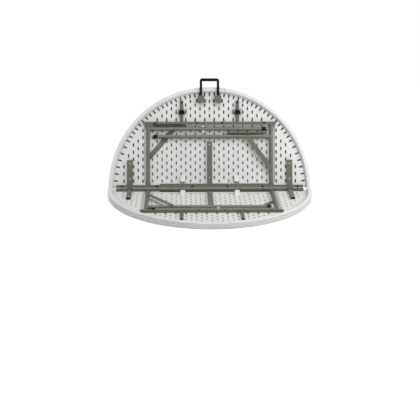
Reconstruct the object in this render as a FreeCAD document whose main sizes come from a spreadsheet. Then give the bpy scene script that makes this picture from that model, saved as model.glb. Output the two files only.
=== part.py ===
import FreeCAD, Part
import os
import re

import Sketcher

# A round table whose top folds in half, with four folding legs. The two halves are the same half
# turned round: one lies on its top surface, the other leans back on the hinge rod.
# Every piece of a half is drawn in the half's own frame, in millimetres: X runs along the fold,
# Y away from it across the half, and Z = 0 is the plane in which the two rims meet when the table is
# folded, so that everything under the tabletop has a negative Z. The hinge axis is the X axis.

SIZES = [
    # tabletop
    ("top_diameter", 1219.2, "round tabletop, 48 inches"),
    ("hinge_height", 38.0, "hinge axis above the tabletop's upper face"),
    ("closing_gap", 0.5, "between the two rims when folded"),
    ("fold_gap", 1.0, "between the two halves when flat"),
    ("edge_round", 8.0, "radius round the outer edge"),
    ("rim_round", 5.5, "radius round the rim's edge"),
    ("rim_width", 20.0, "flat of the rim"),
    ("rim_slope", 12.0, "width of the slope inside the rim"),
    ("deck_depth", 18.0, "rim plane down to the deck"),
    ("bay_depth", 28.5, "rim plane down to the leg bay"),
    ("bay_margin", 24.0, "leg bay beyond the pivot axes"),
    ("bay_start", 33.0, "near edge of the leg bay"),
    ("tube_groove", 34.0, "width of the two grooves under the pivot tubes"),
    ("skin", 3.0, "wall of the hollow moulding"),
    ("notch_width", 192.0, "gap in the rim for the handle"),
    ("notch_depth", 7.0, "gap in the rim for the handle"),
    ("notch_inset", 49.6, "near edge of the rim's gap from the top's outer edge"),
    ("post_place", 163.0, "moulded posts from the middle"),
    ("post_width", 36.0, "moulded post"),
    ("post_reach", 47.0, "length of a post's ramp"),
    ("post_depth", 1.2, "rim plane down to the top of a post"),
    ("post_flat", 9.0, "flat top of a post"),
    # hinge
    ("rod_diameter", 7.0, "hinge rod"),
    ("rod_overhang", 2.0, "hinge rod beyond its outer knuckles"),
    ("knuckle_diameter", 12.0, "hinge knuckle"),
    ("middle_knuckle", 14.0, "knuckle on the lying half"),
    ("outer_knuckle", 13.5, "each knuckle on the leaning half"),
    ("knuckle_gap", 0.5, "between knuckles"),
    ("running_gap", 0.1, "radial clearance of pins and holes"),
    ("side_gap", 0.3, "between pieces that slide or lie over each other"),
    # hinge straps
    ("strap_inset", 96.0, "hinge straps from the foot of the rim"),
    ("strap_width", 34.0, "strap of the leaning half"),
    ("front_strap_width", 26.0, "strap of the lying half"),
    ("strap_reach", 168.0, "end of a strap from the fold"),
    ("strap_rivet_inset", 22.0, "outer rivet from the end of a strap"),
    ("strap_depth", 4.5, "rim plane down to a strap's top"),
    ("sheet_thickness", 1.5, "pressed steel sheet"),
    ("plate_depth", 1.0, "rim plane down to the plate that a strap ends in"),
    ("plate_start", 8.0, "near edge of that plate from the hinge axis"),
    ("plate_end", 19.0, "where the strap steps down from that plate"),
    ("plate_margin", 4.0, "plate beyond each side of the strap"),
    ("knuckle_notch", 8.5, "corner cut from the hinge rail under the knuckles"),
    ("notch_length", 50.0, "length of that cut"),
    # rails
    ("hinge_rail_clearance", 14.6, "ends of the hinge rail to the foot of the rim"),
    ("hinge_screw_inset", 33.0, "outermost screws from the hinge rail's ends"),
    ("hinge_rail_width", 17.0, "rail along the fold"),
    ("hinge_rail_place", 0.5, "near face of the hinge rail"),
    ("hinge_rail_depth", 2.5, "rim plane down to the hinge rail's top"),
    ("liner_clearance", 16.0, "long end of the rail liner from a pivot axis"),
    ("liner_shortfall", 72.0, "short end of the rail liner from the other pivot axis"),
    ("liner_place", 17.8, "near face of the rail liner"),
    ("liner_width", 7.5, "rail liner"),
    ("liner_depth", 9.6, "rim plane down to the rail liner's top"),
    ("cross_rail_overhang", 30.0, "cross rail beyond the pivot axes"),
    ("cross_rail_width", 14.0, "rail across the legs"),
    ("cross_rail_clearance", 15.75, "cross rail's corners to the foot of the rim"),
    ("cross_screw_inset", 42.0, "outer screws of the cross rail from the pivot axes"),
    ("cross_rail_depth", 1.0, "rim plane down to the cross rail's top"),
    # legs
    ("pivot_depth", 14.5, "rim plane down to the outer leg's pivot axis"),
    ("tube_diameter", 22.0, "leg and pivot tubes"),
    ("tube_wall", 1.5, "leg and pivot tubes"),
    ("plug_length", 6.0, "plug in each end of a pivot tube"),
    ("spigot_diameter", 5.0, "bearing spigot of a pivot tube"),
    ("spigot_length", 4.0, "bearing spigot beyond the tube"),
    ("end_gap", 0.5, "between a pivot tube's end and its rail"),
    ("outer_leg_inset", 28.0, "outer leg's axis from the cross rail"),
    ("leg_spacing", 47.0, "between the axes of the two legs"),
    ("leg_length", 712.0, "pivot axis to the end of the foot"),
    ("foot_clearance", 32.0, "end of a foot to the other leg's pivot axis"),
    ("foot_length", 24.0, "foot cap"),
    ("foot_wall", 1.0, "foot cap over the tube"),
    ("foot_sole", 4.0, "foot cap beyond the tube"),
    ("brace_width", 28.0, "flat brace of a leg"),
    ("brace_thickness", 2.5, "flat brace of a leg"),
    ("brace_inset", 11.0, "pivot end of the outer leg's brace from the pivot axis"),
    ("outer_brace_run", 153.0, "brace from the pivot axis, along the outer leg"),
    ("outer_brace_start", 189.0, "outer leg's brace from the fold"),
    ("inner_brace_run", 144.0, "brace from the pivot axis, along the inner leg"),
    ("inner_brace_start", 118.0, "inner leg's brace from the fold"),
    # folding stays
    ("outer_stay_reach", 215.0, "stay pins from the outer leg's pivot axis"),
    ("inner_stay_reach", 256.0, "stay pins from the inner leg's pivot axis"),
    ("stay_width", 14.0, "stay link"),
    ("stay_thickness", 3.0, "stay link"),
    ("stay_gap", 1.5, "leg tube to the leg's link"),
    ("stay_spacing", 4.0, "between the two links"),
    ("stay_pin", 6.0, "stay pin"),
    ("stay_head", 1.2, "pin head"),
    ("stay_head_diameter", 10.0, "pin head"),
    ("bracket_gap", 0.5, "deck link to its bracket"),
    ("bracket_sheet", 2.5, "stay bracket"),
    ("bracket_start", 10.0, "stay bracket beyond its pin"),
    ("bracket_clearance", 14.0, "stay bracket to the pivot tube"),
    # braces, bars and clips on the deck
    ("bar_place", 168.8, "latch bars from the middle"),
    ("bar_width", 17.0, "channel of a latch bar"),
    ("bar_flange", 2.0, "flange each side of a latch bar"),
    ("bar_clearance", 49.6, "end of a latch bar to the foot of the rim"),
    ("bar_screw_inset", 12.0, "screw from the end of a latch bar"),
    ("bar_depth", 8.0, "rim plane down to a latch bar's top"),
    ("centre_width", 30.0, "centre brace"),
    ("centre_clearance", 30.0, "end of the centre brace from the inner leg's axis"),
    ("centre_rivet_inset", 18.0, "outer rivet from the end of the centre brace"),
    ("centre_depth", 12.0, "rim plane down to the centre brace's top"),
    ("clip_place", 39.0, "leg clip from the middle"),
    ("clip_width", 18.0, "leg clip along the leg"),
    ("clip_wall", 6.0, "leg clip"),
    ("clip_depth", 4.0, "rim plane down to the clip's tips"),
    # fasteners
    ("screw_head", 11.0, "flat head of a screw"),
    ("screw_head_height", 0.6, "flat head of a screw"),
    ("rivet_head", 7.0, "rivet head"),
    ("rivet_head_height", 2.0, "rivet head"),
    ("shank", 4.0, "screw or rivet"),
    ("shank_bite", 5.0, "length of a screw or rivet in the moulding"),
    # handle
    ("handle_width", 118.0, "handle over its arms"),
    ("handle_bar", 15.0, "width of the handle's arms"),
    ("handle_grip", 17.0, "width of the handle's grip"),
    ("handle_reach", 51.4, "handle beyond the rim, pulled out"),
    ("handle_thickness", 13.0, "handle"),
    ("handle_corner", 16.0, "outer corner of the handle"),
    ("handle_foot_width", 26.0, "stop at the end of each arm"),
    ("handle_foot_length", 8.0, "stop at the end of each arm"),
    ("guide_inset", 53.6, "far end of a handle guide from the top's outer edge"),
    ("guide_length", 39.0, "handle guide"),
    ("guide_width", 40.0, "handle guide"),
    ("guide_foot_width", 62.0, "foot plate of a handle guide"),
    ("guide_foot_length", 22.0, "foot plate of a handle guide"),
    # latches of the leaning half
    ("latch_inset", 49.0, "latch pin from the cross rail"),
    ("latch_width", 36.0, "latch lever"),
    ("latch_length", 20.0, "latch lever from its pin"),
    ("latch_height", 6.0, "latch lever"),
    ("latch_pin", 3.0, "latch pin"),
    ("latch_ear", 6.0, "pin lug on the latch bar"),
    ("bail_wire", 2.5, "wire bail"),
    ("bail_width", 60.0, "wire bail"),
    ("bail_length", 20.0, "wire bail from its pivot"),
    ("bail_place", 6.0, "bail pivot from the latch pin"),
]

# Sizes that follow from those above.
FOLLOWING = [
    ("rim_foot", "top_diameter / 2 - rim_width - rim_slope", "foot of the rim from the middle"),
    ("notch_start", "top_diameter / 2 - notch_inset", "near edge of the rim's gap from the fold"),
    ("strap_place", "rim_foot - strap_inset", "hinge straps from the middle"),
    ("hinge_rail_reach", "rim_foot - hinge_rail_clearance", "ends of the hinge rail from the middle"),
    ("hinge_screw_reach", "hinge_rail_reach - hinge_screw_inset", "outermost screws from the middle"),
    ("pivot_place", "(leg_length + foot_clearance) / 2", "leg pivot axes from the middle"),
    ("liner_start", "pivot_place - liner_clearance", "long end of the rail liner from the middle"),
    ("liner_end", "pivot_place - liner_shortfall", "short end of the rail liner from the middle"),
    ("cross_rail_reach", "pivot_place + cross_rail_overhang", "ends of the cross rail from the middle"),
    ("cross_rail_end", "sqrt(rim_foot^2 - cross_rail_reach^2) - cross_rail_clearance",
     "far face of the cross rail"),
    ("cross_rail_place", "cross_rail_end - cross_rail_width", "near face of the cross rail"),
    ("outer_leg_place", "cross_rail_place - outer_leg_inset", "outer leg from the fold"),
    ("inner_leg_place", "outer_leg_place - leg_spacing", "inner leg from the fold"),
    ("centre_reach", "inner_leg_place - centre_clearance", "end of the centre brace from the fold"),
    ("bar_reach", "rim_foot - bar_clearance", "end of a latch bar from the fold"),
    ("latch_place", "cross_rail_end + latch_inset", "latch pin from the fold"),
    ("guide_end", "top_diameter / 2 - guide_inset", "far end of a handle guide"),
    ("guide_start", "guide_end - guide_length", "near end of a handle guide"),
]

OPEN_ANGLE = 110.0  # between the two undersides; a folded table has 0 and a flat one 180
SIDES = ((-1, "left"), (1, "right"))
HINGE_SCREW_SHARES = (0.2, 0.6, 1.0)  # of the outermost screws' reach
FIRST_CROSS_SCREW = 76.0
FIRST_STRAP_RIVET = 54.0
FIRST_CENTRE_RIVET = 62.0

doc = FreeCAD.newDocument("folding_table")
sheet = doc.addObject("Spreadsheet::Sheet", "Sizes")
for row, (alias, value, note) in enumerate(SIZES + FOLLOWING, start=1):
    sheet.set(f"A{row}", note)
    sheet.set(f"B{row}", f"={value}" if isinstance(value, str) else str(value))
    sheet.setAlias(f"B{row}", alias)
doc.recompute()

ALIAS = re.compile(r"\b(" + "|".join(alias for alias, _, _ in SIZES + FOLLOWING) + r")\b")

# Places that several pieces share, as expressions of the sheet's sizes.
RADIUS = "top_diameter / 2"
RIM = "(-closing_gap / 2)"
DECK = "(-deck_depth)"
BAY = "(-bay_depth)"
EDGE = "(fold_gap / 2)"
TUBE = "(tube_diameter / 2)"
RAIL_END = "(hinge_rail_place + hinge_rail_width)"
LINER_END = "(liner_place + liner_width)"
FLANGE = f"({DECK} + sheet_thickness)"  # top of a flange that lies on the deck
BRACE_SIDE = "((brace_width - tube_diameter) / 2)"  # how far a brace stands out beside a tube
# The outer leg's brace passes under the inner leg, so the inner leg's axis is a little higher.
LEGS = {
    "outer": {"side": -1, "place": "outer_leg_place", "axis": "(-pivot_depth)",
              "run": "outer_brace_run", "start": "outer_brace_start", "inset": "brace_inset",
              "stay": "outer_stay_reach",
              "brace": "(-pivot_depth - tube_diameter / 2 - brace_thickness)"},
    "inner": {"side": 1, "place": "inner_leg_place", "axis": "(-pivot_depth + side_gap)",
              "run": "inner_brace_run", "start": "inner_brace_start", "inset": BRACE_SIDE,
              "stay": "inner_stay_reach",
              "brace": "(-pivot_depth + side_gap + tube_diameter / 2)"},
}


def bind(thing, prop, expression):
    """Ties a property to an expression of the sheet's sizes."""
    thing.setExpression(prop, ALIAS.sub(r"Sizes.\g<1>", str(expression)))


def new(kind):
    return doc.addObject(kind, kind.split("::")[1])


def box(x0, x1, y0, y1, z0, z1):
    """A block between two X, two Y and two Z places."""
    block = new("Part::Box")
    for prop, axis, low, high in (("Length", "x", x0, x1), ("Width", "y", y0, y1),
                                  ("Height", "z", z0, z1)):
        bind(block, prop, f"({high}) - ({low})")
        bind(block, f"Placement.Base.{axis}", low)
    return block


def middle_box(x, width, y0, y1, z0, z1):
    """A block of a given width about the place x."""
    return box(f"{x} - ({width}) / 2", f"{x} + ({width}) / 2", y0, y1, z0, z1)


def rod(axis, first, second, start, end, diameter):
    """A cylinder along X, Y or Z; first and second are its other two places, in XYZ order."""
    cylinder = new("Part::Cylinder")
    turn = {"x": (0, 1, 0, 90), "y": (1, 0, 0, -90), "z": (0, 0, 1, 0)}[axis]
    cylinder.Placement.Rotation = FreeCAD.Rotation(FreeCAD.Vector(*turn[:3]), turn[3])
    bind(cylinder, "Radius", f"({diameter}) / 2")
    bind(cylinder, "Height", f"({end}) - ({start})")
    places = [first, second]
    for name in "xyz":
        bind(cylinder, f"Placement.Base.{name}", start if name == axis else places.pop(0))
    return cylinder


def fuse(*things):
    joined = new("Part::MultiFuse")
    joined.Shapes = list(things)
    return joined


def cut(base, *tools):
    result = new("Part::Cut")
    result.Base = base
    result.Tool = tools[0] if len(tools) == 1 else fuse(*tools)
    return result


def group(*things):
    """Separate pieces that share one name."""
    together = new("Part::Compound")
    together.Links = list(things)
    return together


def value_of(expression):
    """An expression's value today, only to start a sketch near its final shape."""
    sheet.set("D1", f"={expression}")
    doc.recompute()
    return float(sheet.get("D1"))


def half_turned(points):
    """Half a turn about Z of an outline of (radius, height above the tabletop's upper face)."""
    sketch = new("Sketcher::SketchObject")
    sketch.Placement.Rotation = FreeCAD.Rotation(FreeCAD.Vector(1, 0, 0), 90)
    bind(sketch, "Placement.Base.z", "-hinge_height")
    corners = [FreeCAD.Vector(value_of(r), value_of(z), 0) for r, z in points]
    count = len(corners)
    for i in range(count):
        sketch.addGeometry(Part.LineSegment(corners[i], corners[(i + 1) % count]), False)
    for i, (r, z) in enumerate(points):
        sketch.addConstraint(Sketcher.Constraint("Coincident", i - 1 if i else count - 1, 2, i, 1))
        for kind, place, line in (("DistanceX", r, -2), ("DistanceY", z, -1)):
            if place == "0":
                sketch.addConstraint(Sketcher.Constraint("PointOnObject", i, 1, line))
                continue
            at = sketch.addConstraint(Sketcher.Constraint(kind, -1, 1, i, 1, value_of(place)))
            bind(sketch, f"Constraints[{at}]", place)
    turned = new("Part::Revolution")
    turned.Source = sketch
    turned.Axis = FreeCAD.Vector(0, 0, 1)
    turned.Angle = 180
    turned.Solid = True
    return turned


def fastener(kind, x, y, head, foot):
    """A screw or rivet whose head stands on the height `head`, with its shank down to `foot`."""
    return fuse(rod("z", x, y, head, f"{head} + {kind}_head_height", f"{kind}_head"),
                rod("z", x, y, foot, head, "shank"))


def rail(length, start, end, top):
    """A square steel tube standing on the deck, open at both ends."""
    wall = "sheet_thickness"
    return cut(middle_box("0", length, start, end, DECK, top),
               middle_box("0", f"{length} + 2 * {wall}", f"{start} + {wall}", f"{end} - {wall}",
                          f"{DECK} + {wall}", f"{top} - {wall}"))


# The screws and rivets: whose they are, x, y, the height that the head stands on, and the ground
# that the shank bites into.
HINGE_RAIL_MIDDLE = "(hinge_rail_place + hinge_rail_width / 2)"
CROSS_RAIL_MIDDLE = "(cross_rail_place + cross_rail_width / 2)"
screws = []
rivets = []
for side, name in SIDES:
    for share in HINGE_SCREW_SHARES:
        screws.append(("hinge_rail", f"{side * share} * hinge_screw_reach", HINGE_RAIL_MIDDLE,
                       "(-hinge_rail_depth)", DECK))
    for place in (FIRST_CROSS_SCREW, "(pivot_place - cross_screw_inset)"):
        screws.append(("cross_rail", f"{side} * {place}", CROSS_RAIL_MIDDLE, "(-cross_rail_depth)",
                       DECK))
    screws.append((f"bar_{name}", f"{side} * bar_place", "(bar_reach - bar_screw_inset)", "(-bar_depth)",
                   DECK))
    for place in (FIRST_STRAP_RIVET, "(strap_reach - strap_rivet_inset)"):
        rivets.append((f"strap_{name}", f"{side} * strap_place", place, "(-strap_depth)", DECK))
for place in (FIRST_CENTRE_RIVET, "(centre_reach - centre_rivet_inset)"):
    rivets.append(("centre_brace", "0", place, "(-centre_depth)", BAY))


HOLE = "shank + 2 * side_gap"


def holes(owner, low):
    """Holes round the screws or rivets of one piece, from the height `low` up."""
    return [rod("z", x, y, low, "5", HOLE) for whose, x, y, _, _ in screws + rivets if whose == owner]


# Tabletop: half a disc, hollow, with a rim, a deck and a bay for the legs.
SKIN = "skin"
outer = half_turned([
    ("0", "0"), (f"{RADIUS} - edge_round", "0"), (f"{RADIUS} - edge_round * 0.293", "edge_round * 0.293"),
    (RADIUS, "edge_round"), (RADIUS, f"hinge_height + {RIM} - rim_round"),
    (f"{RADIUS} - rim_round * 0.293", f"hinge_height + {RIM} - rim_round * 0.293"),
    (f"{RADIUS} - rim_round", f"hinge_height + {RIM}"), (f"{RADIUS} - rim_width", f"hinge_height + {RIM}"),
    (f"{RADIUS} - rim_width - rim_slope", "hinge_height - deck_depth"),
    ("0", "hinge_height - deck_depth")])
inside = half_turned([
    ("0", SKIN), (f"{RADIUS} - edge_round", SKIN), (f"{RADIUS} - {SKIN}", "edge_round"),
    (f"{RADIUS} - {SKIN}", f"hinge_height + {RIM} - rim_round"),
    (f"{RADIUS} - rim_round", f"hinge_height + {RIM} - {SKIN}"),
    (f"{RADIUS} - rim_width + {SKIN} / 2", f"hinge_height + {RIM} - {SKIN}"),
    (f"{RADIUS} - rim_width - rim_slope + {SKIN} / 2", f"hinge_height - deck_depth - {SKIN}"),
    ("0", f"hinge_height - deck_depth - {SKIN}")])


def hollows(wall):
    """The bay, the grooves of the pivot tubes and the rim's gap, grown by the wall."""
    cuts = [middle_box("0", f"2 * (pivot_place + bay_margin + {wall})", f"bay_start - {wall}",
                       f"cross_rail_place + {wall}", f"{BAY} - {wall}", "5"),
            middle_box("0", f"notch_width + 2 * {wall}", f"notch_start - {wall}",
                       f"{RADIUS} + 5", f"-notch_depth - {wall}", "5")]
    for side, _ in SIDES:
        cuts.append(middle_box(f"{side} * pivot_place", f"tube_groove + 2 * {wall}",
                               f"{RAIL_END} - {wall}", "bay_start + 1", f"{BAY} - {wall}", "5"))
    return cuts


def across_fold(end):
    return middle_box("0", "top_diameter + 20", "-20", end, "-hinge_height - 5", "5")


core = cut(inside, across_fold(f"{EDGE} + {SKIN}"), *hollows(SKIN))
posts = []
for side, _ in SIDES:
    post = new("Part::Wedge")
    post.Placement.Rotation = FreeCAD.Rotation(FreeCAD.Vector(1, 0, 0), -90)
    bind(post, "Placement.Base.z", "-post_depth")
    bind(post, "Xmin", f"{side} * post_place - post_width / 2")
    bind(post, "X2min", f"{side} * post_place - post_width / 2")
    bind(post, "Xmax", f"{side} * post_place + post_width / 2")
    bind(post, "X2max", f"{side} * post_place + post_width / 2")
    bind(post, "Ymin", "0")
    bind(post, "Ymax", "bay_depth - post_depth")
    bind(post, "Zmin", "bay_start - 2")
    bind(post, "Z2min", "bay_start - 2")
    bind(post, "Zmax", "bay_start - 2 + post_flat")
    bind(post, "Z2max", "bay_start - 2 + post_reach")
    posts.append(post)
tabletop = cut(fuse(cut(outer, across_fold(EDGE), *hollows("0")), *posts), core,
               *[rod("z", x, y, f"{ground} - shank_bite - 1", "0", HOLE)
                 for _, x, y, _, ground in screws + rivets])

# Hinge rail and cross rail, with holes for their screws and bearings for the pivot tubes.
hinge_rail = cut(
    rail("2 * hinge_rail_reach", "hinge_rail_place", RAIL_END, "(-hinge_rail_depth)"),
    *[middle_box(f"{side} * strap_place", "notch_length", "0", "knuckle_notch", "-knuckle_notch", "5")
      for side, _ in SIDES],
    *holes("hinge_rail", f"{DECK} - 1"),
    *[rod("y", f"{leg['side']} * pivot_place", leg["axis"], f"{RAIL_END} - spigot_length",
          f"{RAIL_END} + 1", "spigot_diameter + 2 * running_gap") for leg in LEGS.values()])
cross_rail = cut(
    rail("2 * cross_rail_reach", "cross_rail_place", "cross_rail_end", "(-cross_rail_depth)"),
    *holes("cross_rail", f"{DECK} - 1"),
    *[rod("y", f"{leg['side']} * pivot_place", leg["axis"], "cross_rail_place - 1",
          "cross_rail_place + spigot_length", "spigot_diameter + 2 * running_gap")
      for leg in LEGS.values()])


def liner(start, end):
    """A channel beside the hinge rail, its mouth away from the fold."""
    return cut(box(start, end, "liner_place", LINER_END, DECK, "-liner_depth"),
               box(f"{start} - 1", f"{end} + 1", "liner_place + sheet_thickness", f"{LINER_END} + 1",
                   f"{DECK} + sheet_thickness", "-liner_depth - sheet_thickness"))


liners = {"back": liner("-liner_end", "liner_start"), "front": liner("-liner_start", "liner_end")}

# Centre brace: a channel on the bay's floor.
centre_brace = cut(
    fuse(middle_box("0", "centre_width", "bay_start + 1", "centre_reach", BAY, "-centre_depth"),
         middle_box("0", "centre_width", f"{LINER_END} + side_gap", "bay_start + 2",
                    "-centre_depth - sheet_thickness", "-centre_depth")),
    middle_box("0", "centre_width - 2 * sheet_thickness", "bay_start", "centre_reach + 1",
               f"{BAY} - 1", "-centre_depth - sheet_thickness"),
    *holes("centre_brace", BAY))

# Latch bars: channels with a flange each side, from the cross rail outwards.
bars = {}
for side, name in SIDES:
    at = f"{side} * bar_place"
    bar = fuse(
        middle_box(at, "bar_width + 2 * bar_flange", "cross_rail_end", "bar_reach", DECK, FLANGE),
        middle_box(at, "bar_width", "cross_rail_end", "bar_reach", DECK, "-bar_depth"))
    bars[name] = (at, bar, middle_box(at, "bar_width - 2 * sheet_thickness", "cross_rail_end - 1",
                                      "bar_reach + 1", f"{DECK} - 1", "-bar_depth - sheet_thickness"),
                  holes(f"bar_{name}", DECK))


def front_bar(at, bar, inner, drilled):
    return cut(bar, inner, *drilled)


LATCH_HEIGHT = "(-bar_depth + side_gap + latch_height / 2)"


def back_bar(at, bar, inner, drilled):
    """A latch bar with two lugs for the latch's pin, and the pin."""
    reach = "(latch_width / 2 + side_gap)"
    lugs = [middle_box(at, f"2 * ({reach} + sheet_thickness)", "latch_place - latch_ear / 2",
                       "latch_place + latch_ear / 2", DECK, FLANGE)]
    for way in (-1, 1):
        lugs.append(box(f"{at} + {way} * {reach} - {(1 - way) // 2} * sheet_thickness",
                        f"{at} + {way} * {reach} + {(1 + way) // 2} * sheet_thickness",
                        "latch_place - latch_ear / 2", "latch_place + latch_ear / 2", DECK,
                        f"{LATCH_HEIGHT} + latch_pin"))
    pin = rod("x", "latch_place", LATCH_HEIGHT, f"{at} - {reach} - sheet_thickness",
              f"{at} + {reach} + sheet_thickness", "latch_pin")
    return fuse(cut(fuse(bar, *lugs), inner, *drilled), pin)


def latch(at):
    """The lever, turning on the lugs' pin and carrying the wire bail."""
    half = "latch_width / 2"
    body = fuse(middle_box(at, "latch_width", "latch_place", "latch_place + latch_length",
                           f"{LATCH_HEIGHT} - latch_height / 2",
                           f"{LATCH_HEIGHT} + latch_height / 2"),
                rod("x", "latch_place", LATCH_HEIGHT, f"{at} - {half}", f"{at} + {half}",
                    "latch_height"))
    ends = (f"{at} - latch_width", f"{at} + latch_width")
    return cut(body,
               rod("x", "latch_place", LATCH_HEIGHT, *ends, "latch_pin + 2 * running_gap"),
               rod("x", "latch_place + bail_place", LATCH_HEIGHT, *ends,
                   "bail_wire + 2 * running_gap"))


def bail(at):
    """A closed loop of wire through the lever."""
    start, end = "latch_place + bail_place", "latch_place + bail_place + bail_length"
    half = "bail_width / 2"
    ends = (f"{at} - {half}", f"{at} + {half}")
    wires = [rod("x", place, LATCH_HEIGHT, *ends, "bail_wire") for place in (start, end)]
    for x in ends:
        wires.append(rod("y", x, LATCH_HEIGHT, start, end, "bail_wire"))
        for place in (start, end):
            corner = new("Part::Sphere")
            bind(corner, "Radius", "bail_wire / 2")
            bind(corner, "Placement.Base.x", x)
            bind(corner, "Placement.Base.y", place)
            bind(corner, "Placement.Base.z", LATCH_HEIGHT)
            wires.append(corner)
    return fuse(*wires)


# Hinge straps: a channel over the deck, and a plate over the rail that ends in a knuckle.
def strap(name, at, width, knuckles):
    top, under = "(-strap_depth)", "(-strap_depth - sheet_thickness)"
    plate_top, plate_under = "(-plate_depth)", "(-plate_depth - sheet_thickness)"
    channel = cut(middle_box(at, width, "plate_end", "strap_reach", DECK, top),
                  middle_box(at, f"{width} - 2 * sheet_thickness", "plate_end - 1",
                             "strap_reach + 1", f"{DECK} - 1", under))
    plates = [middle_box(at, f"{width} + 2 * plate_margin", "plate_start", "plate_end", plate_under,
                         plate_top),
              middle_box(at, width, "plate_end", "plate_end + sheet_thickness", under, plate_top)]
    bores = []
    for low, high in knuckles:
        plates.append(rod("x", "0", "0", low, high, "knuckle_diameter"))
        plates.append(box(low, high, "0", "plate_start + 1", plate_under, plate_top))
        bores.append(rod("x", "0", "0", f"{low} - 1", f"{high} + 1", "rod_diameter + 2 * running_gap"))
    return cut(fuse(channel, *plates), *bores, *holes(f"strap_{name}", DECK))


INNER_EDGE = "middle_knuckle / 2 + knuckle_gap"
OUTER_EDGE = "middle_knuckle / 2 + knuckle_gap + outer_knuckle"
straps = {}
for side, name in SIDES:
    at = f"{side} * strap_place"
    straps["front", name] = strap(name, at, "front_strap_width",
                                  [(f"{at} - middle_knuckle / 2", f"{at} + middle_knuckle / 2")])
    straps["back", name] = strap(name, at, "strap_width",
                                 [(f"{at} - ({OUTER_EDGE})", f"{at} - ({INNER_EDGE})"),
                                  (f"{at} + {INNER_EDGE}", f"{at} + {OUTER_EDGE}")])


def hinge_pin(at):
    """A rod through the three knuckles, with a head at each end."""
    pieces = [rod("x", "0", "0", f"{at} - ({OUTER_EDGE}) - rod_overhang",
                  f"{at} + {OUTER_EDGE} + rod_overhang", "rod_diameter"),
              rod("x", "0", "0", f"{at} - ({OUTER_EDGE}) - rod_overhang", f"{at} - ({OUTER_EDGE})",
                  "knuckle_diameter - 2"),
              rod("x", "0", "0", f"{at} + {OUTER_EDGE}", f"{at} + {OUTER_EDGE} + rod_overhang",
                  "knuckle_diameter - 2")]
    return fuse(*pieces)


hinge_pins = group(hinge_pin("-strap_place"), hinge_pin("strap_place"))

# Black screws hold the rails and bars, and bright rivets the straps and the centre brace.
fasteners = {
    f"{kind}s": group(*[fastener(kind, x, y, head, f"({ground} - shank_bite)")
                        for _, x, y, head, ground in places])
    for kind, places in (("screw", screws), ("rivet", rivets))}

# The cream clip that holds the outer leg down.
grip = "tube_diameter + 2 * side_gap"
leg_clip = cut(
    box("-clip_place - clip_width / 2", "-clip_place + clip_width / 2",
        f"outer_leg_place - ({grip}) / 2 - clip_wall", f"outer_leg_place + ({grip}) / 2 + clip_wall",
        BAY, "-clip_depth"),
    box("-clip_place - clip_width", "-clip_place + clip_width",
        f"outer_leg_place - ({grip}) / 2", f"outer_leg_place + ({grip}) / 2", "-pivot_depth", "5"),
    rod("x", "outer_leg_place", "-pivot_depth", "-clip_place - clip_width",
        "-clip_place + clip_width", grip))


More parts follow.
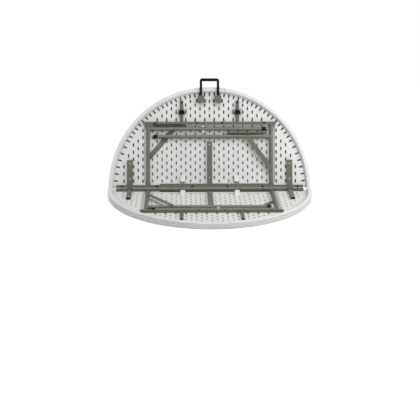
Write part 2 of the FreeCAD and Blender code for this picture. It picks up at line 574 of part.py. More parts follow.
def leg_pieces(name):
    """One leg and all that turns with it, and its folding stay."""
    leg = LEGS[name]
    side, place, axis = leg["side"], leg["place"], leg["axis"]
    pivot = f"{side} * pivot_place"
    inward = -side

    def along(distance):
        return f"({pivot} + {inward} * ({distance}))"

    def tube(distance_a, distance_b, diameter):
        ends = [along(distance_a), along(distance_b)]
        if inward < 0:
            ends.reverse()
        return rod("x", place, axis, *ends, diameter)

    bore = "tube_diameter - 2 * tube_wall"
    near, far = f"{RAIL_END} + end_gap", "cross_rail_place - end_gap"
    pivot_tube = fuse(
        cut(rod("y", pivot, axis, near, far, "tube_diameter"),
            rod("y", pivot, axis, f"{near} + plug_length", f"{far} - plug_length", bore)),
        rod("y", pivot, axis, f"{near} - spigot_length", near, "spigot_diameter"),
        rod("y", pivot, axis, far, f"{far} + spigot_length - end_gap", "spigot_diameter"))

    # The stay's planes, from the leg towards the cross rail.
    link = f"({place} + {TUBE} + stay_gap)"
    link_end = f"({link} + stay_thickness)"
    deck_link = f"({link_end} + stay_spacing)"
    deck_link_end = f"({deck_link} + stay_thickness)"
    upright = f"({deck_link_end} + bracket_gap)"
    # The stay is straight when the leg stands, so its links are each reach / sqrt(2) long.
    pin_at = along(leg["stay"])
    knee = along(f"{leg['stay']} - {leg['stay']} / sqrt(2)")
    pin = fuse(rod("y", pin_at, axis, f"{place} + {TUBE} - tube_wall", f"{link_end} + side_gap",
                   "stay_pin"),
               rod("y", pin_at, axis, f"{link_end} + side_gap", f"{link_end} + side_gap + stay_head",
                   "stay_head_diameter"))
    leg_tube = fuse(
        cut(tube("0", "leg_length - foot_sole", "tube_diameter"),
            tube("-1", "leg_length", bore),
            rod("y", pivot, axis, f"{place} - tube_diameter", f"{place} + tube_diameter",
                "tube_diameter")), pin)
    foot = cut(tube("leg_length - foot_length", "leg_length", "tube_diameter + 2 * foot_wall"),
               tube("leg_length - foot_length - 1", "leg_length - foot_sole",
                    "tube_diameter + 2 * running_gap"))

    # The flat brace lies on both tubes, or under them, and its ends are round. It ends flush with
    # the side of the leg that faces the stay. Its other end is inset from the pivot axis, to stay
    # clear of the bay's floor as the leg turns.
    low = leg["brace"]
    high = f"({low} + brace_thickness)"
    start = along(leg["inset"])
    end = f"({place} - {BRACE_SIDE})"
    run, rise = f"({leg['run']} - {leg['inset']})", f"({end} - {leg['start']})"
    length = f"sqrt({run}^2 + {rise}^2)"
    bar = new("Part::Box")
    bind(bar, "Length", length)
    bind(bar, "Width", "brace_width")
    bind(bar, "Height", "brace_thickness")
    turn = f"atan({rise} / {run})"
    bind(bar, "Placement.Rotation.Angle", turn if inward > 0 else f"180 deg - {turn}")
    bind(bar, "Placement.Base.x", f"{start} + brace_width / 2 * {rise} / {length}")
    bind(bar, "Placement.Base.y",
         f"{leg['start']} - {inward} * brace_width / 2 * {run} / {length}")
    bind(bar, "Placement.Base.z", low)
    brace = fuse(bar, rod("z", along(leg["run"]), end, low, high, "brace_width"),
                 rod("z", start, leg["start"], low, high, "brace_width"))

    def stay_link(start, end):
        """A link from the stay's pin towards the pivot axis, with round ends and a hole."""
        ends = [knee, pin_at] if inward > 0 else [pin_at, knee]
        flat = box(*ends, start, end, f"{axis} - stay_width / 2", f"{axis} + stay_width / 2")
        rounds = [rod("y", x, axis, start, end, "stay_width") for x in ends]
        return fuse(flat, *rounds)

    hole = "stay_pin + 2 * running_gap"
    leg_link = cut(stay_link(link, link_end),
                   rod("y", pin_at, axis, f"{link} - 1", f"{link_end} + 1", hole))
    lower_link = fuse(cut(stay_link(deck_link, deck_link_end),
                          rod("y", pin_at, axis, f"{deck_link} - 1", f"{deck_link_end} + 1", hole)),
                      rod("y", knee, axis, f"{deck_link} - stay_spacing + side_gap", deck_link,
                          "stay_pin"))
    bracket_ends = [along(f"{TUBE} + bracket_clearance"), along(f"{leg['stay']} + bracket_start")]
    if inward < 0:
        bracket_ends.reverse()
    bracket = fuse(
        box(*bracket_ends, upright, f"{upright} + bracket_sheet", BAY, f"{axis} + stay_width / 2"),
        box(*bracket_ends, deck_link, f"{upright} + bracket_sheet", BAY, f"{BAY} + bracket_sheet"),
        rod("y", pin_at, axis, f"{deck_link} - side_gap", f"{upright} + 0.5", "stay_pin"),
        rod("y", pin_at, axis, f"{deck_link} - side_gap - stay_head", f"{deck_link} - side_gap",
            "stay_head_diameter"))
    return {"leg": leg_tube, "pivot": pivot_tube, "brace": brace, "foot": foot,
            "stay_leg_link": leg_link, "stay_deck_link": lower_link, "stay_bracket": bracket}


# Handle: a flat U whose arms slide in two guides on the leaning half.
ARM = "(handle_width / 2 - handle_bar / 2)"
HANDLE_END = f"({RADIUS} + handle_reach)"
half_thick = "handle_thickness / 2"
FOOT_END = "(guide_end - sheet_thickness - side_gap)"
handle_pieces = [
    middle_box("0", "handle_width - 2 * handle_corner", f"{HANDLE_END} - handle_grip", HANDLE_END,
               f"-{half_thick}", half_thick)]
guides = {}
for side, name in SIDES:
    at = f"{side} * {ARM}"
    handle_pieces += [
        middle_box(at, "handle_bar", f"{FOOT_END} - handle_foot_length",
                   f"{HANDLE_END} - handle_corner", f"-{half_thick}", half_thick),
        middle_box(at, "handle_foot_width", f"{FOOT_END} - handle_foot_length", FOOT_END,
                   f"-{half_thick}", half_thick)]
    corner = new("Part::Cylinder")
    corner.Angle = 90
    corner.Placement.Rotation = FreeCAD.Rotation(FreeCAD.Vector(0, 0, 1), 0 if side > 0 else 90)
    bind(corner, "Radius", "handle_corner")
    bind(corner, "Height", "handle_thickness")
    bind(corner, "Placement.Base.x", f"{side} * (handle_width / 2 - handle_corner)")
    bind(corner, "Placement.Base.y", f"{HANDLE_END} - handle_corner")
    bind(corner, "Placement.Base.z", f"-{half_thick}")
    handle_pieces.append(corner)
    clear = f"{half_thick} + side_gap"
    roof = f"{clear} + sheet_thickness"
    stop = "guide_end - sheet_thickness"
    guides[name] = cut(
        fuse(middle_box(at, "guide_width", "guide_start", "guide_end", DECK, roof),
             middle_box(at, "guide_foot_width", "guide_start", "guide_start + guide_foot_length",
                        DECK, FLANGE)),
        middle_box(at, "handle_foot_width + 2 * side_gap", "guide_start - 1", stop,
                   f"-({clear})", clear),
        middle_box(at, "handle_bar + 2 * side_gap", f"{stop} - 1", "guide_end + 1",
                   f"-({clear})", clear),
        middle_box(at, "guide_width - 2 * sheet_thickness", "guide_start - 1", "guide_end + 1",
                   f"{DECK} - 1", f"-({roof})"))
handle = fuse(*handle_pieces)

# Every piece in its place: the lying half turned about Z, the leaning half about the hinge axis.
nodes = {}


def place(half, name, piece):
    """One named piece of a half, carried from the half's frame to the table's."""
    node = group(piece)
    node.Label = f"{half}_{name}"
    if half == "front":
        turn = FreeCAD.Rotation(FreeCAD.Vector(0, 0, 1), 180)
    else:
        turn = FreeCAD.Rotation(FreeCAD.Vector(1, 0, 0), 180 - OPEN_ANGLE)
    node.Placement = FreeCAD.Placement(FreeCAD.Vector(0, 0, 0), turn)
    bind(node, "Placement.Base.z", "hinge_height")
    nodes[node.Label] = node


legs = {name: leg_pieces(name) for name in LEGS}
brackets = group(*[pieces.pop("stay_bracket") for pieces in legs.values()])
for half in ("front", "back"):
    place(half, "tabletop", tabletop)
    place(half, "hinge_rail", hinge_rail)
    place(half, "rail_liner", liners[half])
    place(half, "cross_rail", cross_rail)
    place(half, "centre_brace", centre_brace)
    for name, piece in fasteners.items():
        place(half, name, piece)
    place(half, "leg_clip", leg_clip)
    place(half, "stay_brackets", brackets)
    build_bar = front_bar if half == "front" else back_bar
    for name, other in (("left", "right"), ("right", "left")):
        # turned about Z, what was on the left is on the right
        label = other if half == "front" else name
        place(half, f"strap_{label}", straps[half, name])
        place(half, f"latch_bar_{label}", build_bar(*bars[name]))
    for leg, pieces in legs.items():
        for name, piece in pieces.items():
            place(half, f"{leg}_{name}", piece)
place("back", "hinge_pins", hinge_pins)
place("back", "handle", handle)
for name in ("left", "right"):
    place("back", f"handle_guide_{name}", guides[name])
    place("back", f"latch_{name}", latch(bars[name][0]))
    place("back", f"latch_bail_{name}", bail(bars[name][0]))

doc.recompute()
os.makedirs("parts", exist_ok=True)
for thing in doc.Objects:
    if {"Invalid", "Error"} & set(thing.State):
        raise RuntimeError(f"{thing.Label} ({thing.Name}) was not built: {thing.State}")
for label, node in nodes.items():
    shape = node.Shape
    if shape.isNull() or not shape.isValid() or not shape.Solids:
        raise RuntimeError(f"{label} has no valid solid")
    shape.exportStep(f"parts/{label}.step")
    print(label, len(shape.Solids), round(shape.Volume / 1000, 1))
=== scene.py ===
import math

import bpy
import numpy as np
from mathutils import Matrix, Vector


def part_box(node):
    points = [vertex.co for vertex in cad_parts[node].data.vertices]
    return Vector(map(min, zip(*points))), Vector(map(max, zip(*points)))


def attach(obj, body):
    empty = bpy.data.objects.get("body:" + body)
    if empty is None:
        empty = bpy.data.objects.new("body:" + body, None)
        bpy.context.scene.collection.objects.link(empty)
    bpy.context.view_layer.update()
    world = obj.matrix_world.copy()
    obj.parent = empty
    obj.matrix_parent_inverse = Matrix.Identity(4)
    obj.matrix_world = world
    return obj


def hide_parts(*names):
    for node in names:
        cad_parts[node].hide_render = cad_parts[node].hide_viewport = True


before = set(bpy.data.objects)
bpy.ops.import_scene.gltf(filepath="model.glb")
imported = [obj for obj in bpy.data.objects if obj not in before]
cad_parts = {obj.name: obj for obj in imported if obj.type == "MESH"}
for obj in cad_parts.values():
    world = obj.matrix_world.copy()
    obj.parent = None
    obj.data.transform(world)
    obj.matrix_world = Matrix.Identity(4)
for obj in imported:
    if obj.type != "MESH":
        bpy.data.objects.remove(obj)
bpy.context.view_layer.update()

# ---------------------------------------------------------------------------------------------
# The two moulded halves of the tabletop. Each is blow-moulded from white polyethylene in one
# piece: a smooth upper skin, and under it a rim, a deck covered in small oval dimples that tie
# the two skins together, a sunk bay for the legs and a row of short slots inside the rim.
# ---------------------------------------------------------------------------------------------

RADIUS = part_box("front_tabletop")[1][0]
HINGE_HEIGHT = 0.038  # the thickness of a half, on which the hinge line lies above the floor
OPEN_TURN = math.radians(70)  # of the leaning half, from lying flat
FOLD_EDGE = 0.0005  # half of the gap between the two halves

# Heights are measured from the plane in which the two rims meet.
RIM_TOP, DECK, BAY = -0.00025, -0.018, -0.0285
RIM_FOOT, RIM_LAND = RADIUS - 0.032, RADIUS - 0.020
RIM_ROUND, SKIN_ROUND = 0.0055, 0.008
RIM_RISE_START, RIM_RISE_SPAN = 0.12, 0.82  # the share of a smooth step that the rim's slope takes
BAND_INNER = 0.550
SHEET_EDGE = BAND_INNER + 0.003
SHEET_TUCK = 0.0003  # the sheet's rim lies this much under the band
NOTCH_HALF_WIDTH, NOTCH_NEAR, NOTCH_DEPTH = 0.096, 0.560, 0.007  # the gap in the rim for the handle
NOTCH_SIDE = 0.0015  # the angle over which its sides drop

BAY_HALF_WIDTH = 0.396
BAY_NEAR, BAY_FAR = 0.033, 0.385
GROOVE_PLACE, GROOVE_WIDTH = 0.372, 0.034
GROOVE_NEAR, GROOVE_OVERLAP = 0.0175, 0.003
STEP = 0.001  # a step of the deck drops over this width

DIMPLE_PITCH_X, DIMPLE_PITCH_Y = 0.0288, 0.0220
DIMPLE_COLUMNS, DIMPLE_ROWS = 21, 24  # columns to each side of the middle, and rows from the fold
DIMPLE_FIRST_Y = 0.0400
DIMPLE_HALF_X, DIMPLE_HALF_Y = 0.0048, 0.0130
DIMPLE_DEPTH, BAY_DIMPLE_DEPTH = 0.012, 0.0065
DIMPLE_FLOOR = 0.68  # the flat floor's share of the oval
DIMPLE_NEAREST, DIMPLE_FIELD = 0.02, 0.5541  # the field's near edge, and the circle that ends it
RAIL_ROW_NEAR, RAIL_ROW_FAR, RAIL_ROW_STRETCH = 0.400, 0.420, 2.0  # the row beside the cross rail
OUTSIDE = 9.0  # stands for a place that no dimple reaches

POST_PLACE, POST_HALF_WIDTH, POST_TOP = 0.163, 0.018, -0.0012
POST_NEAR, POST_FLAT_END, POST_FAR = 0.031, 0.040, 0.078
POST_CORNER, POST_EDGE = 0.012, 0.007

SLOT_RADIUS, SLOT_HALF_LENGTH, SLOT_HALF_WIDTH, SLOT_DEPTH = 0.567, 0.0125, 0.0052, 0.010
SLOT_FLOOR = 0.6  # the flat floor's share of the slot
# Seven slots in the first 30 degrees from the fold, then one every 3 degrees up to the middle.
SLOT_TURNS = np.radians(np.concatenate([np.arange(1, 8) * 30 / 7, np.arange(11, 31) * 3]))

# The open channels that are screwed to the deck: place, half of the width inside, and end.
STRAP_CHANNEL = (0.4816, 0.0116, 0.1675)
BAR_CHANNEL = (0.1688, 0.0071, 0.5275)
# CHANNEL_END is how far back from a channel's end the deck gets painted shade.
CHANNEL_END, CHANNEL_LINE = 0.10, 0.0002  # length that is shaded, and half a shaded edge's width

# Painted shade, between the open deck's 0 and a pit's 1: the posts' tops and the outer skin are painted a
# little darker.
POST_SHADE, SKIN_SHADE = 0.25, 0.41


def carry(half, points):
    """Points of a half's own frame (X along the fold, Y away from it, Z = 0 in the rims' plane)
    in the table's frame: the front half is turned half round Z, and the back half leans about X."""
    x, y, z = np.moveaxis(np.asarray(points, dtype=float), -1, 0)
    if half == "front":
        return np.stack([-x, -y, z + HINGE_HEIGHT], axis=-1)
    c, s = math.cos(OPEN_TURN), math.sin(OPEN_TURN)
    return np.stack([x, c * y - s * z, s * y + c * z + HINGE_HEIGHT], axis=-1)


def grid_faces(rows, columns, flip=False):
    """Quads between neighbouring points of a grid of rows by columns that is stored row by row."""
    i, j = np.meshgrid(np.arange(rows - 1), np.arange(columns - 1), indexing="ij")
    a = (i * columns + j).ravel()
    quads = np.stack([a, a + 1, a + columns + 1, a + columns], axis=-1)
    return quads[:, ::-1] if flip else quads


def welded(name, patches, smooth_angle):
    """One mesh from patches of (points, faces, shade): points nearer than a hundredth of a
    millimetre become one, and faces that have collapsed are dropped. The shade of each point, 0 in
    the open and 1 at the bottom of a pit, is kept as an attribute. Edges that turn by more than
    smooth_angle stay sharp."""
    points = np.concatenate([p.reshape(-1, 3) for p, _, _ in patches])
    shades = np.concatenate([np.broadcast_to(shade, p.shape[:-1]).ravel() for p, _, shade in patches])
    starts = np.cumsum([0] + [p.reshape(-1, 3).shape[0] for p, _, _ in patches[:-1]])
    keys = np.round(points * 1e5).astype(np.int64)
    _, keep, index = np.unique(keys, axis=0, return_index=True, return_inverse=True)
    index = index.ravel()
    faces = []
    for (_, patch_faces, _), start in zip(patches, starts):
        for face in patch_faces:
            corners = [int(index[start + k]) for k in face]
            ring = [c for n, c in enumerate(corners) if c != corners[n - 1]]
            if len(set(ring)) == len(ring) and len(ring) > 2:
                faces.append(ring)
    mesh = bpy.data.meshes.new(name)
    mesh.from_pydata([tuple(p) for p in points[keep]], [], faces)
    tone = mesh.attributes.new("shade", "FLOAT", "POINT")
    tone.data.foreach_set("value", shades[keep].astype(np.float32))
    mesh.validate()
    thing = bpy.data.objects.new(name, mesh)
    bpy.context.scene.collection.objects.link(thing)
    mesh.shade_smooth()
    mesh.set_sharp_from_angle(angle=smooth_angle)
    return thing


def smooth_step(t):
    """0 below t = 0, 1 above t = 1, and 3 t^2 - 2 t^3 between them."""
    t = np.clip(t, 0, 1)
    return t * t * (3 - 2 * t)


def sheet_lines():
    """The lines of the deck's grid, in X and Y: five across and seven along every dimple, and close
    lines at every step of the deck, round the posts and at the channels' edges."""
    columns = np.arange(-DIMPLE_COLUMNS, DIMPLE_COLUMNS + 1) * DIMPLE_PITCH_X
    across = np.array([-1, -DIMPLE_FLOOR, 0, DIMPLE_FLOOR, 1]) * DIMPLE_HALF_X
    steps_x = [BAY_HALF_WIDTH, BAY_HALF_WIDTH - STEP]
    for side in (-1, 1):
        steps_x += [GROOVE_PLACE + side * GROOVE_WIDTH / 2, GROOVE_PLACE + side * (GROOVE_WIDTH / 2 - STEP)]
    steps_x += list(POST_PLACE + np.linspace(-1, 1, 17) * POST_HALF_WIDTH)
    for place, half_width, _ in (STRAP_CHANNEL, BAR_CHANNEL):
        for edge in (place - half_width, place + half_width):
            steps_x += [edge - CHANNEL_LINE, edge + CHANNEL_LINE]
    x = np.concatenate([(columns[:, None] + across).ravel(), steps_x, [-s for s in steps_x]])
    rows = DIMPLE_FIRST_Y + np.arange(-1, DIMPLE_ROWS) * DIMPLE_PITCH_Y
    along = np.array([-1, -0.82, -0.45, 0, 0.45, 0.82, 1]) * DIMPLE_HALF_Y
    steps_y = [FOLD_EDGE, GROOVE_NEAR, GROOVE_NEAR + STEP, BAY_NEAR, BAY_NEAR + STEP, BAY_FAR - STEP, BAY_FAR]
    steps_y += list(np.linspace(POST_NEAR, POST_FAR, 21))
    for _, _, end in (STRAP_CHANNEL, BAR_CHANNEL):
        steps_y += [end - CHANNEL_LINE, end + CHANNEL_LINE]
    y = np.concatenate([(rows[:, None] + along).ravel(), steps_y])
    x = np.concatenate([x[np.abs(x) < SHEET_EDGE], [-SHEET_EDGE, SHEET_EDGE]])
    y = np.concatenate([y[(y >= FOLD_EDGE) & (y < SHEET_EDGE)], [SHEET_EDGE]])
    return np.unique(np.round(x, 5)), np.unique(np.round(y, 5))


def post_height(x, y):
    """Height of the posts: a flat top, then a straight ramp down to the bay. Their two near corners
    are round, and they rise from the bay over the first millimetres inside their outline:
    inside = corner - |(max(u - width + corner, 0), max(near + corner - y, 0))|. Outside it the
    height is the upper skin's, which is lower than any deck."""
    ramp = POST_TOP + (BAY - POST_TOP) * np.clip((y - POST_FLAT_END) / (POST_FAR - POST_FLAT_END), 0, 1)
    u = np.abs(np.abs(x) - POST_PLACE)
    inside = POST_CORNER - np.hypot(np.maximum(u - POST_HALF_WIDTH + POST_CORNER, 0),
                                    np.maximum(POST_NEAR + POST_CORNER - y, 0))
    t = np.clip(inside / POST_EDGE, 0, 1)
    rise = BAY + (ramp - BAY) * np.sqrt(t * (2 - t))
    return np.where((inside > 0) & (y < POST_FAR), rise, -HINGE_HEIGHT)


def deck_height(x, y):
    """Height of the underside, and how much painted shade it gets. It is the deck, less the bay and
    grooves, which drop over one step at their edges, less the dimples, or the posts where they stand
    higher. A dimple's depth falls off from its oval's flat floor to its edge:
    depth * (1 - smooth_step((r - floor) / (1 - floor))), r = 1 on the oval. The row beside the cross
    rail runs on under it. The deck that a channel's end covers gets painted shade, as dark as a pit."""
    drop = np.minimum.reduce([BAY_HALF_WIDTH - np.abs(x), y - BAY_NEAR, BAY_FAR - y])
    groove = np.minimum.reduce(
        [GROOVE_WIDTH / 2 - np.abs(np.abs(x) - GROOVE_PLACE), y - GROOVE_NEAR, BAY_NEAR + GROOVE_OVERLAP - y])
    low = np.clip(np.maximum(drop, groove) / STEP, 0, 1)
    height = DECK + (BAY - DECK) * low
    i = np.rint(x / DIMPLE_PITCH_X)
    j = np.rint((y - DIMPLE_FIRST_Y) / DIMPLE_PITCH_Y)
    nearest = np.full(x.shape, OUTSIDE)
    for shift in (-1, 0, 1):
        even = np.mod(i + j + shift, 2) == 0
        dx = (x - i * DIMPLE_PITCH_X) / DIMPLE_HALF_X
        centre_x, centre_y = i * DIMPLE_PITCH_X, DIMPLE_FIRST_Y + (j + shift) * DIMPLE_PITCH_Y
        dy = (y - centre_y) / DIMPLE_HALF_Y
        by_rail = (centre_y > RAIL_ROW_NEAR) & (centre_y < RAIL_ROW_FAR)
        dy = np.where(by_rail & (dy < 0), dy / RAIL_ROW_STRETCH, dy)
        room = np.hypot(centre_x, centre_y) + DIMPLE_HALF_Y < DIMPLE_FIELD
        near_edge = np.abs(centre_y - BAY_FAR) < DIMPLE_HALF_Y
        near_edge |= np.abs(np.abs(centre_x) - BAY_HALF_WIDTH) < DIMPLE_HALF_X
        r = np.where(even & room & ~near_edge & (centre_y > DIMPLE_NEAREST), np.hypot(dx, dy), OUTSIDE)
        nearest = np.minimum(nearest, r)
    pit = 1 - smooth_step((nearest - DIMPLE_FLOOR) / (1 - DIMPLE_FLOOR))
    pit = np.where((y < BAY_NEAR + 1.1 * STEP) & (np.abs(x) < BAY_HALF_WIDTH), 0.0, pit)
    height = height - (DIMPLE_DEPTH + (BAY_DIMPLE_DEPTH - DIMPLE_DEPTH) * low) * pit
    post = post_height(x, y)
    # Painted shade: the posts' tops a little darker, and the pits darker towards their floors.
    shade = np.where(post > height, POST_SHADE, pit)
    # Painted shade: the deck under the end of a strap or latch bar is painted as dark as a pit's floor.
    for place, half_width, end in (STRAP_CHANNEL, BAR_CHANNEL):
        covered = (np.abs(np.abs(x) - place) < half_width) & (y < end) & (y > end - CHANNEL_END)
        shade = np.where(covered, 1.0, shade)
    return np.maximum(height, post), shade


def deck_patch():
    """The dimpled sheet, on lines clamped to a circle whose edge is tucked just under the band
    round it: y <= sqrt(edge^2 - x^2)."""
    xs, ys = sheet_lines()
    x, y = np.meshgrid(xs, ys, indexing="ij")
    edge = np.sqrt(np.maximum(SHEET_EDGE**2 - x**2, 0))
    y = np.maximum(np.minimum(y, edge), FOLD_EDGE)
    z, shade = deck_height(x, y)
    z = z - SHEET_TUCK * (np.hypot(x, y) > BAND_INNER - STEP)
    return np.stack([x, y, z], axis=-1), grid_faces(len(xs), len(ys), flip=True), shade


def ring_patch():
    """The profile of the rim and the upper skin, carried half round the middle of the fold, with
    the slots sunk into it and the gap for the handle cut from it; and that profile. Its last point
    stands for the fold, to which the flat skin runs straight back."""
    slot_rings = SLOT_RADIUS + np.array([-1, -SLOT_FLOOR, 0, SLOT_FLOOR]) * SLOT_HALF_LENGTH
    rise = [(RIM_FOOT + (RIM_LAND - RIM_FOOT) * t,
             DECK + (RIM_TOP - DECK) * smooth_step(RIM_RISE_START + RIM_RISE_SPAN * t))
            for t in np.linspace(0, 1, 7)]
    edge = [(RADIUS - RIM_ROUND * (1 - math.sin(a)), RIM_TOP - RIM_ROUND * (1 - math.cos(a)))
            for a in np.linspace(0, math.pi / 2, 7)]
    skin = [(RADIUS - SKIN_ROUND * (1 - math.cos(a)), -HINGE_HEIGHT + SKIN_ROUND * (1 - math.sin(a)))
            for a in np.linspace(0, math.pi / 2, 7)]
    profile = ([(BAND_INNER, DECK)] + [(r, DECK) for r in slot_rings] + [(RIM_FOOT, DECK)] + rise[1:-1]
               + [(RIM_LAND, RIM_TOP)] + edge + skin + [(BAND_INNER, -HINGE_HEIGHT), (0.0, -HINGE_HEIGHT)])
    r, z = np.array(profile).T
    middles = np.concatenate([SLOT_TURNS, math.pi - SLOT_TURNS[:-1]])
    across = np.array([-1, -SLOT_FLOOR, 0, SLOT_FLOOR, 1]) * SLOT_HALF_WIDTH / SLOT_RADIUS
    notch = math.asin(NOTCH_HALF_WIDTH / RADIUS)
    notch_turns = [math.pi / 2 + side * turn for side in (-1, 1) for turn in (notch, notch - NOTCH_SIDE)]
    turns = np.unique(np.concatenate([(middles[:, None] + across).ravel(), [0, math.pi], notch_turns]))
    angle, radius = np.meshgrid(turns, r, indexing="ij")
    height = np.broadcast_to(z, radius.shape).copy()
    nearest = middles[np.argmin(np.abs(angle[..., None] - middles), axis=-1)]
    slot = np.abs(angle - nearest) * SLOT_RADIUS / SLOT_HALF_WIDTH
    inside = np.maximum(slot, (SLOT_RADIUS - radius) / SLOT_HALF_LENGTH)
    on_band = (radius < RIM_FOOT + STEP) & (height > DECK - STEP)
    pit = np.where(on_band, 1 - smooth_step((inside - SLOT_FLOOR) / (1 - SLOT_FLOOR)), 0.0)
    height = height - SLOT_DEPTH * pit
    gap = np.abs(angle - math.pi / 2) < notch - NOTCH_SIDE / 2
    height = np.where(gap & (radius > NOTCH_NEAR), np.minimum(height, -NOTCH_DEPTH), height)
    x, y = radius * np.cos(angle), np.maximum(radius * np.sin(angle), FOLD_EDGE)
    x[:, -1] = x[:, -2]
    # Painted shade: the outer skin a little darker, and the slots darker towards their floors.
    outer_skin = (radius > RADIUS - STEP) | (height < -HINGE_HEIGHT + SKIN_ROUND)
    shade = np.where(outer_skin, SKIN_SHADE, pit)
    return np.stack([x, y, height], axis=-1), grid_faces(len(turns), len(r)), shade, list(zip(r, z))


def tabletop(half):
    """One closed half: the dimpled sheet, the ring round it and the skin, the wall along the fold
    between the sheet and the skin, and the ring's two end sections beside it."""
    deck = deck_patch()
    ring_points, ring_faces, ring_shade, profile = ring_patch()
    xs, _ = sheet_lines()
    xs = np.concatenate([[-BAND_INNER], xs[np.abs(xs) < BAND_INNER], [BAND_INNER]])
    low = [(x, FOLD_EDGE, -HINGE_HEIGHT) for x in np.sort(ring_points[:, -1, 0])]
    wall = np.array(low + [(x, FOLD_EDGE, DECK) for x in xs[::-1]])
    patches = [deck, (ring_points, ring_faces, ring_shade), (wall, [list(range(len(wall)))], 0.0)]
    for side in (-1, 1):
        section = np.array([(side * r, FOLD_EDGE, z) for r, z in profile[:-1]])
        order = range(len(section)) if side > 0 else range(len(section))[::-1]
        patches.append((section, [list(order)], 0.0))
    patches = [(carry(half, points), faces, shade) for points, faces, shade in patches]
    top = welded(f"{half}_tabletop_moulding", patches, math.radians(40))
    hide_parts(f"{half}_tabletop")
    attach(top, f"{half}_half")
    return top


class Line:
    """A value or colour on its way through a finish's nodes. Arithmetic on it adds Math nodes."""

    def __init__(self, finish, socket):
        self.finish, self.socket = finish, socket

    def _math(self, operation, *operands):
        return self.finish.node("ShaderNodeMath", {"operation": operation}, dict(enumerate(operands)))

    def __add__(self, other):
        return self._math("ADD", self, other)

    def __sub__(self, other):
        return self._math("SUBTRACT", self, other)

    def __rsub__(self, other):
        return self._math("SUBTRACT", other, self)

    def __mul__(self, other):
        return self._math("MULTIPLY", self, other)

    __radd__, __rmul__ = __add__, __mul__

    def size(self):
        """The value without its sign."""
        return self._math("ABSOLUTE", self)

    def between(self, low, high):
        """0 at low, 1 at high, smooth between."""
        settings = {"interpolation_type": "SMOOTHSTEP"}
        values = {"Value": self, "From Min": low, "From Max": high}
        return self.finish.node("ShaderNodeMapRange", settings, values)


class Finish:
    """A material for one kind of surface of the table, made of one Principled shader and whatever
    nodes vary its colour, roughness and relief."""

    def __init__(self, name, **constants):
        self.material = bpy.data.materials.new(name)
        self.material.use_nodes = True
        self.tree = self.material.node_tree
        self.shader = self.tree.nodes["Principled BSDF"]
        for socket, value in constants.items():
            self.shader.inputs[socket.replace("_", " ")].default_value = value

    def node(self, kind, settings=None, values=None, output=0):
        """A node of this kind: its settings first, then the values or lines of its sockets."""
        made = self.tree.nodes.new(kind)
        for key, value in (settings or {}).items():
            setattr(made, key, value)
        for key, value in (values or {}).items():
            if isinstance(value, Line):
                self.tree.links.new(value.socket, made.inputs[key])
            else:
                made.inputs[key].default_value = value
        return Line(self, made.outputs[output])

    def place(self):
        """The table's own coordinates, in metres."""
        return self.node("ShaderNodeTexCoord", output="Object")

    def noise(self, scale, detail=2.0):
        """Even grain, from 0 to 1, with this many spots to a metre."""
        values = {"Vector": self.place(), "Scale": scale, "Detail": detail, "Roughness": 0.5}
        return self.node("ShaderNodeTexNoise", None, values, "Fac")

    def mix(self, amount, first, second):
        """The first colour where the amount is 0 and the second where it is 1."""
        return self.node("ShaderNodeMix", {"data_type": "RGBA"}, {0: amount, 6: first, 7: second}, output=2)

    def relief(self, height, strength):
        """Fine relief, up to a fifth of a millimetre high."""
        values = {"Height": height, "Distance": 0.0002, "Strength": strength}
        self.feed("Normal", self.node("ShaderNodeBump", None, values))

    def feed(self, socket, line):
        """What varies over the surface goes to this socket of the shader."""
        self.tree.links.new(line.socket, self.shader.inputs[socket])


# The last of these colours is painted shade, for the bottoms of the pits and the other places that the shade
# attribute darkens.
WHITE, WHITE_DULLER, PIT_PAINTED_SHADE = (0.605, 0.61, 0.60, 1), (0.575, 0.58, 0.57, 1), (0.16, 0.16, 0.155, 1)


def moulded_white():
    """White polyethylene with the faint grain of its mould and a slight unevenness of colour. Painted
    shade, read from the shade attribute: the deeper a place lies in a pit, the darker it is painted."""
    finish = Finish("moulded white polyethylene", Specular_IOR_Level=0.4)
    tone = finish.noise(9.0, 3.0).between(0.3, 0.7)
    open_tone = finish.mix(tone, WHITE_DULLER, WHITE)
    shade = finish.node("ShaderNodeAttribute", {"attribute_name": "shade"}, output="Fac")
    finish.feed("Base Color", finish.mix(shade.between(0.1, 0.9), open_tone, PIT_PAINTED_SHADE))
    finish.feed("Roughness", finish.noise(240.0) * 0.10 + 0.42)
    finish.relief(finish.noise(900.0, 1.0), 0.35)
    return finish.material


white = moulded_white()
for half in ("front", "back"):
    tabletop(half).data.materials.append(white)

# ---------------------------------------------------------------------------------------------
# The steel frame: rectangular rails, a stiffening channel, pressed straps, braces, leg tubes and
# their pivots. All of it is mild steel, powder coated in a warm grey before the table is put
# together. The thin stay links are darker. The leg tubes are coloured a lighter grey, a painted
# highlight for the light on their round tops, and the insides of the open channels are painted
# nearly black, as painted shade.
# ---------------------------------------------------------------------------------------------

STEEL_PIECES = (
    "hinge_rail", "cross_rail", "centre_brace", "stay_brackets",
    "outer_pivot", "outer_brace", "inner_pivot", "inner_brace")
TUBES = ("outer_leg", "inner_leg")
STAYS = ("outer_stay_leg_link", "outer_stay_deck_link", "inner_stay_leg_link", "inner_stay_deck_link")
LINER_TOP, STRAP_UNDER, BAR_UNDER = -0.0096, -0.0058, -0.0093  # where the channels' insides begin
STRAP_INSIDE = {"front": STRAP_CHANNEL[1], "back": 0.0156}
FRAME_GREY, FRAME_GREY_DARKER = (0.111, 0.116, 0.087, 1), (0.101, 0.105, 0.079, 1)
# The leg tubes' colours: the frame's grey made lighter, as a painted highlight.
TUBE_GREY_PAINTED_HIGHLIGHT, TUBE_GREY_PAINTED_HIGHLIGHT_DARKER = (0.136, 0.142, 0.108, 1), (0.124, 0.129, 0.098, 1)
STAY_GREY, STAY_GREY_DARKER = (0.075, 0.077, 0.066, 1), (0.060, 0.062, 0.054, 1)
